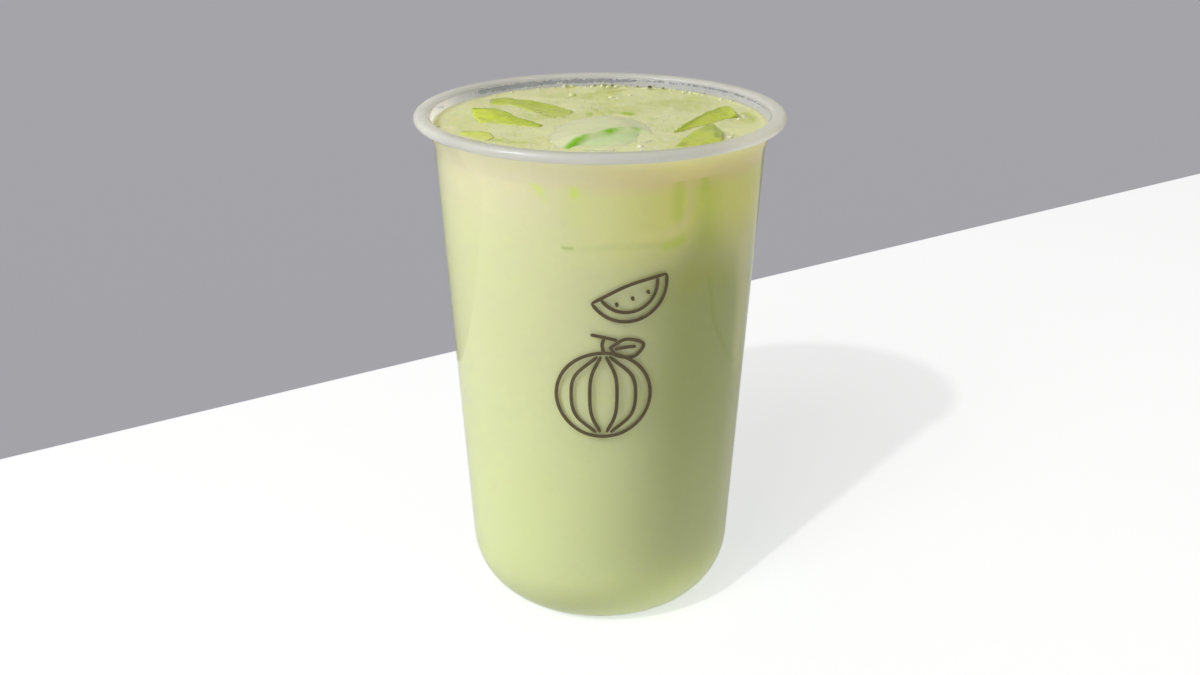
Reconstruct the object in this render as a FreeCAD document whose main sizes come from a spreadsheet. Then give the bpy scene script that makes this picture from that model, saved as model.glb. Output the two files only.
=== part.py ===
import FreeCAD, Part
import math
import os
import Sketcher

# A 500 ml clear U-shaped cup, filled with iced melon milk tea.
# Millimetres, +Z up. The origin is the centre of the foot, on the surface that the cup stands on.
# The cup is one turned wall. The drink fills it, a layer of froth lies on the drink, and six pieces
# of ice break the surface. Drink and froth are cut round the ice.

SIZES = {
    # the cup
    "cup_height": 126.5,
    "body_radius": 40.0,        # outside, at the step under the neck
    "wall_taper": 4.09,         # degrees a side
    "wall_thick": 0.8,
    "corner_radius": 18.4,      # outside, between the wall and the foot
    "foot_angle": 16.4,         # where the foot cuts the corner's arc, in degrees from its lowest point
    "floor_thick": 1.2,
    "recess_depth": 0.5,        # the hollow under the base
    "recess_inset": 23.4,       # the hollow's edge, in from the body radius
    "recess_round": 0.2,
    "neck_height": 8.4,         # the step, down from the top
    "neck_flare": 2.2,          # how far the neck widens, from the step to the rim
    "neck_bend": 35.0,          # radius of the neck's hollow curve
    "rim_thick": 2.4,
    "rim_lip": 2.8,             # how far the rim stands out from the neck
    "rim_edge_round": 0.9,
    "rim_root_round": 0.4,
    # the contents
    "drink_gap": 3.0,           # the surface, down from the top
    "foam_depth": 5.4,
}

# Each piece of ice is a rounded block hung from the centre of its top face.
# inset: its centre, in from the body radius. around: degrees from +X. proud: its top above the
# surface. yaw, pitch and roll turn it, in degrees. shrink narrows it downwards, in degrees a side.
ICE_FIELDS = ("long", "wide", "deep", "corner", "edge", "shrink",
              "inset", "around", "proud", "yaw", "pitch", "roll")
ICE = {
    "ice_back_left": (23.0, 9.5, 17.0, 2.5, 1.2, 3.0, 15.2, 138.0, 0.4, -33.0, 1.0, 5.0),
    "ice_left": (19.0, 8.0, 18.0, 2.0, 1.0, 2.0, 16.7, 175.0, 1.4, -27.0, 5.0, -6.0),
    "ice_front_left": (14.0, 6.5, 15.0, 2.0, 1.0, 4.0, 9.2, 205.0, 0.5, -50.0, 2.0, -4.0),
    "ice_centre": (23.0, 36.0, 22.0, 9.0, 4.5, 3.0, 33.5, 274.0, 1.0, 1.0, 1.0, -1.0),
    "ice_back_right": (24.0, 7.0, 18.0, 2.2, 1.1, 2.0, 15.2, 6.0, 1.5, 56.0, -4.0, 6.0),
    "ice_front_right": (16.0, 9.0, 17.0, 2.2, 1.1, 4.0, 10.4, 324.0, 1.2, 62.0, -3.0, 5.0),
}

# Heights and radii that several features share, as expressions over the sheet.
STEP = "(Sizes.cup_height - Sizes.neck_height)"
RIM_UNDER = "(Sizes.cup_height - Sizes.rim_thick)"
RIM_ROOT = "(Sizes.body_radius + Sizes.neck_flare)"
RIM_MID = "(Sizes.body_radius + Sizes.neck_flare + Sizes.rim_lip - Sizes.rim_thick / 2)"
MOUTH = "(Sizes.body_radius + Sizes.neck_flare - Sizes.wall_thick)"
FLOOR = "(Sizes.floor_thick + Sizes.recess_depth)"
RECESS = "(Sizes.body_radius - Sizes.recess_inset)"
SURFACE = "(Sizes.cup_height - Sizes.drink_gap)"

START, END, CENTRE = 1, 2, 3    # a sketch element's named points
AXIS_X, AXIS_Z = -1, -2         # the sketch's own axes


def fill_sheet(doc):
    """Write every driving size into the sheet, each under its own alias."""
    sheet = doc.addObject("Spreadsheet::Sheet", "Sizes")
    values = dict(SIZES)
    for name, row in ICE.items():
        for field, value in zip(ICE_FIELDS, row):
            values[name + "_" + field] = value
    for number, (alias, value) in enumerate(values.items(), start=1):
        sheet.set("A%d" % number, alias)
        sheet.set("B%d" % number, str(value))
        sheet.setAlias("B%d" % number, alias)
    doc.recompute()
    return sheet


def value_of(sheet, expression):
    """The number that an expression over the sheet gives now."""
    return float(sheet.evalExpression(expression))


class Outline:
    """A closed sketch outline whose corners are pinned by expressions.

    A corner is (x, z) with each an expression, or a plain number, which only says where
    the solver starts from.
    """

    def __init__(self, sheet, sketch):
        self.sheet = sheet
        self.sketch = sketch

    def place(self, corner):
        x, z = (value_of(self.sheet, c) if isinstance(c, str) else c for c in corner)
        return FreeCAD.Vector(x, z, 0)

    def side(self, first, last, via=None, helper=False):
        """Add a straight side, or an arc through a third point, and return its number."""
        ends = [self.place(first), self.place(last)]
        if via is None:
            shape = Part.LineSegment(*ends)
        else:
            shape = Part.Arc(ends[0], self.place(via), ends[1])
        return self.sketch.addGeometry(shape, helper)

    def middle(self, first, last, radius):
        """The middle of an arc between two corners. It bends right of the way from first to last,
        or left if the radius is negative."""
        start, end = self.place(first), self.place(last)
        way = end - start
        sag = abs(radius) - math.sqrt(max(radius ** 2 - (way.Length / 2) ** 2, 0.0))
        right = FreeCAD.Vector(way.y, -way.x, 0).normalize()
        spot = (start + end) / 2 + right * math.copysign(sag, radius)
        return spot.x, spot.y

    def end_at(self, side, corner):
        """Which of a side's two ends lies at the corner."""
        spot = self.place(corner)
        return min((START, END), key=lambda e: (self.sketch.getPoint(side, e) - spot).Length)

    def bind(self, kind, places, expression):
        """Add a constraint with a size, and tie the size to the sheet."""
        size = value_of(self.sheet, expression)
        if kind == "Angle":
            size = math.radians(size)
        number = self.sketch.addConstraint(Sketcher.Constraint(kind, *places, size))
        self.sketch.setExpression("Constraints[%d]" % number, expression)

    def pin(self, side, corner):
        """Tie each coordinate of a side's end that is an expression."""
        end = self.end_at(side, corner)
        for kind, axis, text in (("DistanceX", AXIS_Z, corner[0]), ("DistanceY", AXIS_X, corner[1])):
            if not isinstance(text, str):
                continue
            if text == "0":
                self.sketch.addConstraint(Sketcher.Constraint("PointOnObject", side, end, axis))
            else:
                self.bind(kind, (AXIS_X, START, side, end), text)

    def join(self, one, other, corner, smooth=False):
        """Make two sides meet at the corner, and flow into each other there if smooth."""
        ends = (one, self.end_at(one, corner), other, self.end_at(other, corner))
        self.sketch.addConstraint(Sketcher.Constraint("Tangent" if smooth else "Coincident", *ends))

    def close(self, corners, arcs, smooth=()):
        """Draw the outline through the corners. arcs maps a corner's number to a point on the
        arc that starts there. smooth holds the corners that don't show. Return the sides."""
        count = len(corners)
        sides = [self.side(corners[i], corners[(i + 1) % count], arcs.get(i)) for i in range(count)]
        for i in range(count):
            self.join(sides[i - 1], sides[i], corners[i], i in smooth)
            self.pin(sides[i], corners[i])
        return sides


def sketch_on(body, role, name):
    """A new sketch on one of the body's own origin planes."""
    sketch = body.newObject("Sketcher::SketchObject", name)
    plane = next(f for f in body.Origin.OriginFeatures if f.Role == role)
    sketch.AttachmentSupport = [(plane, "")]
    sketch.MapMode = "FlatFace"
    return sketch


def corner_start(sheet):
    """Where the solver starts: the corner arc's two ends and middle, and its centre's radius."""
    bend = value_of(sheet, "Sizes.corner_radius")
    foot = math.radians(value_of(sheet, "Sizes.foot_angle"))
    taper = math.radians(value_of(sheet, "Sizes.wall_taper"))
    lift = bend * math.cos(foot)
    drop = value_of(sheet, STEP) - lift
    centre = value_of(sheet, "Sizes.body_radius") - drop * math.tan(taper) - bend / math.cos(taper)

    def on_arc(radius, angle):
        return (centre + radius * math.sin(angle), lift - radius * math.cos(angle))

    return foot, taper, on_arc


def tie_corner(outline, arc, wall):
    """The outer corner's radius and height over the foot, and the wall's slope."""
    outline.bind("Radius", (arc,), "Sizes.corner_radius")
    lift = "Sizes.corner_radius * cos(Sizes.foot_angle)"
    outline.bind("DistanceY", (AXIS_X, START, arc, CENTRE), lift)
    outline.bind("Angle", (wall,), "90 - Sizes.wall_taper")


def draw_outside(sheet, sketch):
    """Half of the cup's outside, from the foot's centre round to the middle of the mouth."""
    outline = Outline(sheet, sketch)
    foot, taper, on_arc = corner_start(sheet)
    bend = value_of(sheet, "Sizes.corner_radius")
    foot_edge = (on_arc(bend, foot)[0], "0")
    wall_foot = on_arc(bend, math.pi / 2 - taper)
    waist = on_arc(bend, (foot + math.pi / 2 - taper) / 2)
    corners = [("0", "0"), foot_edge, wall_foot, ("Sizes.body_radius", STEP),
               (RIM_ROOT, RIM_UNDER), (RIM_MID, RIM_UNDER), (RIM_MID, "Sizes.cup_height"),
               ("0", "Sizes.cup_height")]
    neck_mid = outline.middle(corners[3], corners[4], -value_of(sheet, "Sizes.neck_bend"))
    bead_mid = outline.middle(corners[5], corners[6], value_of(sheet, "Sizes.rim_thick / 2"))
    sides = outline.close(corners, {1: waist, 3: neck_mid, 5: bead_mid}, smooth=(2,))
    tie_corner(outline, sides[1], sides[2])
    outline.bind("Radius", (sides[3],), "Sizes.neck_bend")
    outline.bind("DistanceX", (AXIS_X, START, sides[5], CENTRE), RIM_MID)


def draw_inside(sheet, sketch):
    """Half of the cup's inside. Its wall and corner lie one wall thickness in from the outside."""
    outline = Outline(sheet, sketch)
    foot, taper, on_arc = corner_start(sheet)
    bend = value_of(sheet, "Sizes.corner_radius")
    thick = value_of(sheet, "Sizes.wall_thick")

    # the outside's wall and corner, as helper lines
    wall_foot = on_arc(bend, math.pi / 2 - taper)
    foot_edge = (on_arc(bend, foot)[0], "0")
    step = ("Sizes.body_radius", STEP)
    waist = on_arc(bend, (foot + math.pi / 2 - taper) / 2)
    arc = outline.side(foot_edge, wall_foot, waist, helper=True)
    wall = outline.side(wall_foot, step, helper=True)
    outline.join(arc, wall, wall_foot, smooth=True)
    outline.pin(arc, foot_edge)
    outline.pin(wall, step)
    tie_corner(outline, arc, wall)

    inner = bend - thick
    lift = bend * math.cos(foot)
    cut = math.acos((lift - value_of(sheet, FLOOR)) / inner)
    floor_edge = (on_arc(inner, cut)[0], FLOOR)
    inner_foot = on_arc(inner, math.pi / 2 - taper)
    inner_waist = on_arc(inner, (cut + math.pi / 2 - taper) / 2)
    inner_step = (value_of(sheet, "Sizes.body_radius") - thick, STEP)
    corners = [("0", FLOOR), floor_edge, inner_foot, inner_step,
               (MOUTH, "Sizes.cup_height"), ("0", "Sizes.cup_height")]
    neck_mid = outline.middle(corners[3], corners[4], -value_of(sheet, "Sizes.neck_bend"))
    sides = outline.close(corners, {1: inner_waist, 3: neck_mid}, smooth=(2,))
    sketch.addConstraint(Sketcher.Constraint("Coincident", sides[1], CENTRE, arc, CENTRE))
    sketch.addConstraint(Sketcher.Constraint("Parallel", sides[2], wall))
    step_end = outline.end_at(sides[2], inner_step)
    outline.bind("Distance", (sides[2], step_end, wall), "Sizes.wall_thick")
    outline.bind("Radius", (sides[3],), "Sizes.neck_bend")


def spin(body, kind, sketch):
    """Turn a sketch a whole turn about the cup's axis, as a Revolution or a Groove."""
    feature = body.newObject("PartDesign::" + kind, body.Name + kind)
    feature.Profile = sketch
    feature.ReferenceAxis = (sketch, ["V_Axis"])
    feature.Angle = 360
    sketch.Visibility = False
    return feature


def ring_edges(shape, radius, height):
    """Names of the round edges at a radius and a height."""
    names = []
    for number, edge in enumerate(shape.Edges, start=1):
        box = edge.BoundBox
        if abs(box.ZMax - height) < 1e-4 and abs(box.ZMin - height) < 1e-4 and abs(box.XMax - radius) < 1e-3:
            names.append("Edge%d" % number)
    return names


def round_edges(body, name, base, edges, expression):
    if not edges:
        raise RuntimeError(name + " found no edge")
    feature = body.newObject("PartDesign::Fillet", name)
    feature.Base = (base, edges)
    feature.setExpression("Radius", expression)
    body.Document.recompute()
    return feature


def make_cup(doc, sheet):
    """The turned cup: outside, inside, the hollow under the base, and rounded edges."""
    body = doc.addObject("PartDesign::Body", "cup")
    outside = sketch_on(body, "XZ_Plane", "CupOutside")
    draw_outside(sheet, outside)
    blank = spin(body, "Revolution", outside)
    doc.recompute()

    inside = sketch_on(body, "XZ_Plane", "CupInside")
    draw_inside(sheet, inside)
    shell = spin(body, "Groove", inside)
    doc.recompute()

    ring = sketch_on(body, "XY_Plane", "BaseHollow")
    ring.addGeometry(Part.Circle(FreeCAD.Vector(), FreeCAD.Vector(0, 0, 1), value_of(sheet, RECESS)))
    ring.addConstraint(Sketcher.Constraint("Coincident", 0, CENTRE, -1, START))
    number = ring.addConstraint(Sketcher.Constraint("Radius", 0, value_of(sheet, RECESS)))
    ring.setExpression("Constraints[%d]" % number, RECESS)
    hollow = body.newObject("PartDesign::Pocket", "BaseRecess")
    hollow.Profile = ring
    hollow.Reversed = True
    hollow.setExpression("Length", "Sizes.recess_depth")
    ring.Visibility = False
    doc.recompute()
    if not blank.Shape.Volume > shell.Shape.Volume > hollow.Shape.Volume:
        raise RuntimeError("the cup's hollows cut nothing")

    recess = ring_edges(hollow.Shape, value_of(sheet, RECESS), 0.0)
    recess += ring_edges(hollow.Shape, value_of(sheet, RECESS), value_of(sheet, "Sizes.recess_depth"))
    feature = round_edges(body, "RecessRound", hollow, recess, "Sizes.recess_round")
    mouth = ring_edges(feature.Shape, value_of(sheet, MOUTH), value_of(sheet, "Sizes.cup_height"))
    feature = round_edges(body, "MouthRound", feature, mouth, "Sizes.rim_edge_round")
    root = ring_edges(feature.Shape, value_of(sheet, RIM_ROOT), value_of(sheet, RIM_UNDER))
    round_edges(body, "RimRootRound", feature, root, "Sizes.rim_root_round")
    return body


def make_ice(doc, sheet, name):
    """One rounded block of ice, hung from its top face, which lies in the block's own XY plane."""
    body = doc.addObject("PartDesign::Body", name)
    sketch = sketch_on(body, "XY_Plane", name + "_top")
    outline = Outline(sheet, sketch)
    half_x = "Sizes.%s_long / 2" % name
    half_y = "Sizes.%s_wide / 2" % name
    outline.close([("-(%s)" % half_x, "-(%s)" % half_y), (half_x, "-(%s)" % half_y),
                   (half_x, half_y), ("-(%s)" % half_x, half_y)], {})
    sketch.Visibility = False
    block = body.newObject("PartDesign::Pad", name + "_block")
    block.Profile = sketch
    block.Reversed = True
    block.setExpression("Length", "Sizes.%s_deep" % name)
    block.setExpression("TaperAngle", "-Sizes.%s_shrink" % name)
    doc.recompute()

    def tall(edge):
        return edge.BoundBox.ZLength > value_of(sheet, "Sizes.%s_deep" % name) / 2

    upright = ["Edge%d" % n for n, e in enumerate(block.Shape.Edges, start=1) if tall(e)]
    sides = round_edges(body, name + "_corners", block, upright, "Sizes.%s_corner" % name)
    level = ["Edge%d" % n for n, e in enumerate(sides.Shape.Edges, start=1) if e.BoundBox.ZLength < 1e-4]
    round_edges(body, name + "_edges", sides, level, "Sizes.%s_edge" % name)

    out = "(Sizes.body_radius - Sizes.%s_inset)" % name
    place = "vector({out} * cos(Sizes.{n}_around); {out} * sin(Sizes.{n}_around); {top} + Sizes.{n}_proud)"
    turn = "rotation(Sizes.{n}_yaw; Sizes.{n}_pitch; Sizes.{n}_roll)"
    text = "placement(%s; %s)" % (place, turn)
    body.setExpression("Placement", text.format(n=name, out=out, top=SURFACE))
    return body


def make_slab(doc, name, low, high):
    """A helper cylinder wider than the cup, between two heights."""
    slab = doc.addObject("Part::Cylinder", name)
    slab.setExpression("Radius", RIM_ROOT)
    slab.setExpression("Height", "%s - %s" % (high, low))
    slab.setExpression("Placement.Base.z", low)
    return slab


def make_contents(doc, sheet, ice):
    """The drink and the froth on it: the cup's inside between two levels, cut round the ice."""
    cavity = doc.addObject("PartDesign::Body", "CupSpace")
    sketch = sketch_on(cavity, "XZ_Plane", "CupSpaceOutline")
    draw_inside(sheet, sketch)
    spin(cavity, "Revolution", sketch)

    froth_foot = "(%s - Sizes.foam_depth)" % SURFACE
    blocks = doc.addObject("Part::MultiFuse", "IceTogether")
    blocks.Shapes = ice
    pieces = []
    for name, low, high in (("drink", "0", froth_foot), ("foam", froth_foot, SURFACE)):
        whole = doc.addObject("Part::Common", name + "Whole")
        whole.Base = cavity
        whole.Tool = make_slab(doc, name + "Levels", low, high)
        piece = doc.addObject("Part::Cut", name)
        piece.Base = whole
        piece.Tool = blocks
        pieces.append(piece)
    return pieces


def check(doc, parts):
    """Stop if any object failed, or if a piece isn't one valid solid."""
    for thing in doc.Objects:
        if "Invalid" in thing.State or "Error" in thing.State:
            raise RuntimeError("%s failed: %s" % (thing.Name, thing.State))
    for part in parts:
        shape = part.Shape
        if shape.isNull() or not shape.isValid() or len(shape.Solids) != 1:
            raise RuntimeError(part.Label + " isn't one valid solid")


def main():
    doc = FreeCAD.newDocument("MelonMilkTea")
    sheet = fill_sheet(doc)
    cup = make_cup(doc, sheet)
    ice = [make_ice(doc, sheet, name) for name in ICE]
    doc.recompute()
    contents = make_contents(doc, sheet, ice)
    doc.recompute()

    parts = [cup] + contents + ice
    for part in parts:
        part.Label = part.Name
    check(doc, parts)
    os.makedirs("parts", exist_ok=True)
    for part in parts:
        part.Shape.exportStep(os.path.join("parts", part.Label + ".step"))
        print("%-16s %8.2f cm3" % (part.Label, part.Shape.Volume / 1000))


main()
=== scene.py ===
import math
import random

import bpy
import numpy as np
from bpy.props import FloatProperty, FloatVectorProperty, IntProperty, PointerProperty
from mathutils import Euler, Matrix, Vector


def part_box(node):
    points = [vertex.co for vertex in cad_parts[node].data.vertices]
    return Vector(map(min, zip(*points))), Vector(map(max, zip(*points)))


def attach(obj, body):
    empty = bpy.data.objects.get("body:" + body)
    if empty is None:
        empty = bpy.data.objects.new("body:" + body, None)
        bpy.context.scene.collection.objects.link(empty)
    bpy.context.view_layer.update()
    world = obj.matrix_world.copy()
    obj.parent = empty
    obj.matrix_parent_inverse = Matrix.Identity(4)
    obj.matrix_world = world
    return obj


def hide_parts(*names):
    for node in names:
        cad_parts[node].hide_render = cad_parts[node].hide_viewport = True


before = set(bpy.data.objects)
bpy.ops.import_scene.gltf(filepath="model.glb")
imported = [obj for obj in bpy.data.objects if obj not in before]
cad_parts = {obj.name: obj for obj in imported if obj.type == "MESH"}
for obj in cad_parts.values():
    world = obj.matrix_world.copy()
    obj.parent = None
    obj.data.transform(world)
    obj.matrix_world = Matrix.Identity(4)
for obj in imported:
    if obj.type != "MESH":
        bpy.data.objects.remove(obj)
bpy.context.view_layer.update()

bl_info = {
    "name": "Melon milk tea",
    "version": (1, 0, 0),
    "blender": (4, 5, 0),
    "location": "View3D > Sidebar > Melon tea",
    "description": "Dresses an iced melon milk tea in a clear cup: wall, drink, froth, ice and print",
    "category": "Object",
}

MM = 0.001
CUP_LOW, CUP_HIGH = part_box("cup")

# Each piece of ice at the surface: how thick its film of milk is, how much painted shade darkens it, and
# the corners of its top face as (x, y, height over the surface), in millimetres.
ICE = {
    "ice_back_left": (0.1, 0.52, [
        (-27.9, 23.8, 0.4), (-22.9, 24.9, 0.5), (-15.5, 19.8, 0.6), (-10.3, 14.9, 0.5),
        (-6.6, 11.2, 0.3), (-7.2, 7.6, 0.1), (-8.8, 3.6, 0.0), (-11.4, 1.4, 0.0), (-15.1, 7.5, 0.1),
        (-18.9, 13.6, 0.2), (-23.0, 18.2, 0.2), (-27.7, 19.0, 0.2)]),
    "ice_left": (0.08, 0.12, [
        (-31.8, 10.0, 1.3), (-25.7, 9.3, 1.4), (-22.0, 4.2, 1.2), (-18.3, -1.1, 1.0),
        (-13.6, -4.6, 0.6), (-14.9, -6.4, 0.1), (-18.2, -4.6, 0.1), (-23.4, -3.0, 0.1),
        (-28.9, -2.2, 0.1), (-31.0, 5.0, 0.5)]),
    "ice_front_left": (0.26, 0.1, [
        (-33.6, -12.4, 0.4), (-30.8, -10.8, 0.5), (-28.0, -11.4, 0.5), (-25.4, -13.6, 0.4),
        (-24.8, -16.4, 0.1), (-26.3, -19.6, 0.1), (-29.7, -16.8, 0.1)]),
    "ice_back_right": (0.14, 0.24, [
        (17.0, -12.0, 0.7), (19.4, -7.9, 1.2), (22.4, -1.7, 1.4), (26.2, 5.1, 1.5), (29.2, 9.2, 1.5),
        (32.4, 11.4, 1.5), (33.6, 4.4, 1.0), (30.9, 2.6, 0.2), (28.0, -0.9, 0.1), (23.6, -5.5, 0.1),
        (20.0, -9.2, 0.1), (18.2, -11.4, 0.1)]),
    "ice_front_right": (0.18, 0.35, [
        (17.2, -25.6, 0.5), (19.0, -20.6, 0.9), (21.8, -13.9, 1.2), (25.6, -8.4, 1.4),
        (27.3, -7.2, 1.4), (28.6, -12.1, 0.9), (28.4, -20.9, 0.6), (24.0, -27.2, 0.2),
        (19.4, -28.6, 0.1)]),
}
# Darker lines of painted shade where a face of the ice turns away: corners in millimetres, half width,
# softness, strength.
ICE_SHADE_LINES = [
    ([(-31.4, 9.2), (-25.7, 8.8), (-22.0, 3.8), (-18.3, -1.4), (-14.2, -4.9)], 0.15, 0.8, 0.85),
    ([(-22.9, 24.4), (-15.5, 19.3), (-10.3, 14.4), (-7.2, 10.9)], 0.1, 0.9, 0.5),
    ([(17.2, -12.0), (19.5, -8.3), (22.5, -2.3), (26.3, 4.4), (29.2, 8.4)], 0.15, 0.8, 0.8),
    ([(17.8, -12.0), (20.4, -9.2), (23.4, -6.0)], 0.1, 0.6, 0.8),
    ([(17.4, -25.8), (18.8, -24.4)], 0.8, 1.6, 0.9),
    ([(17.6, -25.0), (19.2, -20.9), (21.9, -14.4), (25.6, -9.0)], 0.1, 0.8, 0.6),
    ([(26.8, -8.0), (27.4, -12.5), (27.4, -19.0)], 0.35, 0.8, 1.0),
    ([(-33.0, -12.4), (-30.8, -11.3), (-28.0, -11.9)], 0.1, 0.6, 0.5),
]
MIDDLE_ICE = [(-12.8, -21.0), (-12.4, -13.0), (-11.0, -5.6), (-7.6, 1.6), (-2.6, 6.0), (2.6, 7.0),
              (7.6, 4.4), (11.6, -2.0), (13.2, -10.0), (13.4, -18.0), (9.0, -27.0), (0.0, -30.0),
              (-8.6, -28.0)]
# The hollow's back edge on the middle piece, where its green shows through.
MIDDLE_EDGE = [(-8.8, -29.0), (-6.9, -25.4), (-4.8, -22.0), (-1.6, -18.2), (1.9, -15.2), (5.0, -12.6),
               (9.2, -10.0), (12.6, -11.5)]
# How strong that green is along x, and a fainter line on the piece's left shoulder.
MIDDLE_GREEN = [(-9.0, 0.55), (-6.5, 0.9), (-4.0, 0.75), (-1.8, 0.2), (0.2, 0.45), (2.4, 1.0), (4.4, 0.5),
                (6.6, 0.1), (8.8, 0.6), (11.0, 0.0)]
MIDDLE_SHADE = [([(-12.6, -15.0), (-11.4, -6.6), (-8.0, 0.8), (-3.0, 5.2)], 0.2, 0.8, 0.3)]

# Marks that ice behind the wall leaves in the drink: points as (degrees from the front, height),
# half width, softness and strength.
GREEN_MARKS = [
    ([(-22.0, 117.6), (-19.8, 116.0)], 0.1, 1.7, 0.45),
    ([(-19.8, 116.0), (-18.4, 114.2)], 0.1, 1.3, 0.2),
    ([(-8.6, 116.6), (-8.2, 116.0)], 0.1, 2.1, 0.62),
    ([(-8.6, 116.0), (-8.0, 111.0)], 1.0, 4.0, 0.15),
    ([(27.0, 118.4), (27.0, 114.0), (26.8, 109.8)], 0.2, 2.8, 0.4),
    ([(37.2, 118.8), (37.6, 115.2)], 0.2, 3.0, 0.5),
    ([(38.0, 115.6), (39.0, 110.0), (40.0, 104.0)], 0.5, 7.0, 0.32),
    ([(23.0, 102.9), (27.0, 103.3), (29.0, 103.8)], 0.1, 2.0, 0.5),
]
PALE_MARKS = [
    ([(31.4, 118.4), (32.0, 112.0), (29.8, 108.2), (24.0, 105.8)], 0.4, 1.6, 0.8),
    ([(24.0, 105.8), (14.0, 105.3)], 0.3, 2.0, 0.3),
    # Painted light: the stroke below is a lighter strip just inside the right edge, not milk.
    ([(63.0, 98.0), (67.0, 84.0), (68.0, 68.0)], 1.0, 5.0, 0.38),
    ([(-62.0, 118.0), (-40.0, 116.5)], 1.5, 5.0, 0.2),
]
# Painted shade: a broad darker stroke on the drink's dark side.
PAINTED_SHADE_MARKS = [([(40.0, 98.0), (44.0, 84.0)], 3.0, 10.0, 0.55)]
LINE_MARKS = [
    ([(-12.8, 103.3), (-11.6, 102.9), (-9.6, 103.0)], 0.05, 0.7, 0.7),
    ([(-9.6, 103.0), (0.0, 103.3), (10.0, 103.6), (21.0, 103.4)], 0.05, 1.2, 0.13),
    ([(42.5, 92.5), (47.0, 81.0), (56.0, 72.0), (64.5, 67.2), (71.0, 68.6), (74.0, 76.0)], 0.1, 1.2, 0.28),
    ([(76.0, 92.0), (80.0, 82.0), (79.0, 74.0)], 0.2, 1.6, 0.2),
]

# Soft patches of sunk ice under the surface: centre x, y, half length, half width, degrees, strength.
SURFACE_PATCHES = [
    (1.0, 28.0, 7.0, 10.0, 0.0, 0.85),
    (16.0, 25.0, 12.0, 8.0, -25.0, 0.5),
    (22.0, 14.0, 4.0, 7.0, -20.0, 0.4),
    (36.0, 4.0, 2.2, 5.5, 0.0, 0.75),
    (-12.0, 29.0, 9.0, 3.0, -12.0, 0.3),
    (-21.0, -19.5, 5.0, 1.6, -25.0, 0.6),
    (5.0, 12.0, 8.0, 5.0, 0.0, 0.35),
    (-14.0, 3.0, 8.0, 2.6, -38.0, 0.5),
    (-6.5, 3.5, 4.0, 4.5, 0.0, 0.4),
    (8.0, -33.0, 8.0, 4.0, 0.0, 0.3),
]
# Small vivid flecks of ice at the surface, given in the same way.
SURFACE_FLECKS = [
    (-2.5, 8.0, 0.8, 1.6, 0.0, 0.7), (-1.0, 12.6, 0.7, 1.6, 0.0, 0.5), (0.5, 9.2, 0.5, 1.2, 0.0, 0.4),
    (2.7, 10.8, 0.8, 1.8, 0.0, 0.5), (6.9, 8.2, 2.0, 1.3, -32.0, 1.0), (-23.6, -19.0, 1.4, 0.8, -10.0, 0.5),
    (-21.4, -20.4, 1.8, 0.7, -15.0, 0.55), (12.5, 3.0, 1.0, 1.6, 0.0, 0.3),
]

# Painted light and shade in the drink's colour, by degrees from the front: how much painted daylight is
# laid on, the height where that starts and over how many millimetres it grows, and the top of the
# painted shade on the dark side. Heights in millimetres.
DAYLIGHT = [(-24, 0.0), (-12, 0.05), (-3, 0.2), (3, 0.32), (10, 0.45), (17, 0.58), (24, 0.85), (30, 1.0)]
DAYLIGHT_FOOT = [(8, 90.0), (18, 91.0), (28, 95.0), (38, 100.0), (55, 91.0)]
DAYLIGHT_SOFT = [(18, 17.0), (36, 13.0), (55, 19.0)]
PAINTED_SHADE_TOP = [(14, 99.0), (24, 104.0), (33, 107.0), (42, 107.0), (70, 97.0)]

# Heights between which the drink's colour changes: to its low colour, and to olive in the painted shade on
# the dark side.
LOW_DRINK, OLIVE_DRINK = (80 * MM, 25 * MM), (84 * MM, 101 * MM)

# The film of milk above the drink, by degrees from the back: where its clear band starts, in
# millimetres over the surface, and how clear the band is there. Clear parts are painted dark, as painted
# shade seen through the wall.
FILM_BAND = [(-180, 1.4, 0), (-84, 1.0, 0), (-80, 0.9, 0), (-74, 0.7, 0), (-70, 0.9, 0), (-56, 1.1, 0.1),
             (-46, 0.9, 1.2), (-20, 0.75, 1.35), (-10, 0.9, 1.1), (8, 1.0, 0.9), (14, 1.5, 0.85),
             (30, 1.65, 1.2), (60, 1.7, 1.5), (80, 1.7, 1.2), (90, 1.6, 0), (180, 1.6, 0)]
# One thin clear gap in it on the left: degrees from the front, height over the surface.
FILM_GAP = [(-107.0, 0.9), (-101.5, 1.7)]

# Large bubbles against the back wall: degrees from the back, radius in millimetres, and how much painted
# shade darkens their middles.
BACK_BUBBLES = [(-13.0, 0.9, 0.5), (-10.5, 0.6, 0.3), (-2.0, 0.55, 0.9), (1.6, 1.0, 0.6), (4.6, 0.7, 0.9),
                (7.0, 0.5, 0.3), (9.5, 0.45, 0.5), (14.4, 0.62, 0.9), (19.4, 1.05, 0.95),
                (24.6, 0.62, 0.95), (42.5, 0.5, 0.9)]
# Larger bubbles that stand apart on the froth: x, y and radius in millimetres, and how much painted shade
# darkens their middles.
LOOSE_BUBBLES = [(-7.2, 29.6, 0.9, 0.15), (2.8, 27.0, 0.7, 0.0), (4.6, 25.8, 0.5, 0.0), (7.7, 29.2, 0.6, 0.0),
                 (34.2, 8.2, 0.7, 0.0), (35.2, 5.6, 0.55, 0.0), (33.8, 2.4, 0.5, 0.0), (34.9, 3.4, 0.4, 0.0),
                 (30.4, -16.0, 0.6, 0.0), (31.2, -13.4, 0.4, 0.0), (-9.8, -4.8, 0.45, 0.0),
                 (9.2, -25.5, 0.9, 0.0)]
FINE_BUBBLES, WALL_BUBBLES = 900, 150

# Rows of faces up the drink's plain wall, up the part with marks and across the surface, and the steps
# round the drink and the film.
PLAIN_ROWS, MARKED_ROWS, SURFACE_ROWS = 8, 72, 90
TEA_STEPS, FILM_STEPS = 420, 720

# The print: where its middle lies on the wall (round from the front, height) and its line's width, in mm.
PRINT_MIDDLE, PRINT_LINE = (1.8, 75.2), 0.84

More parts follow.
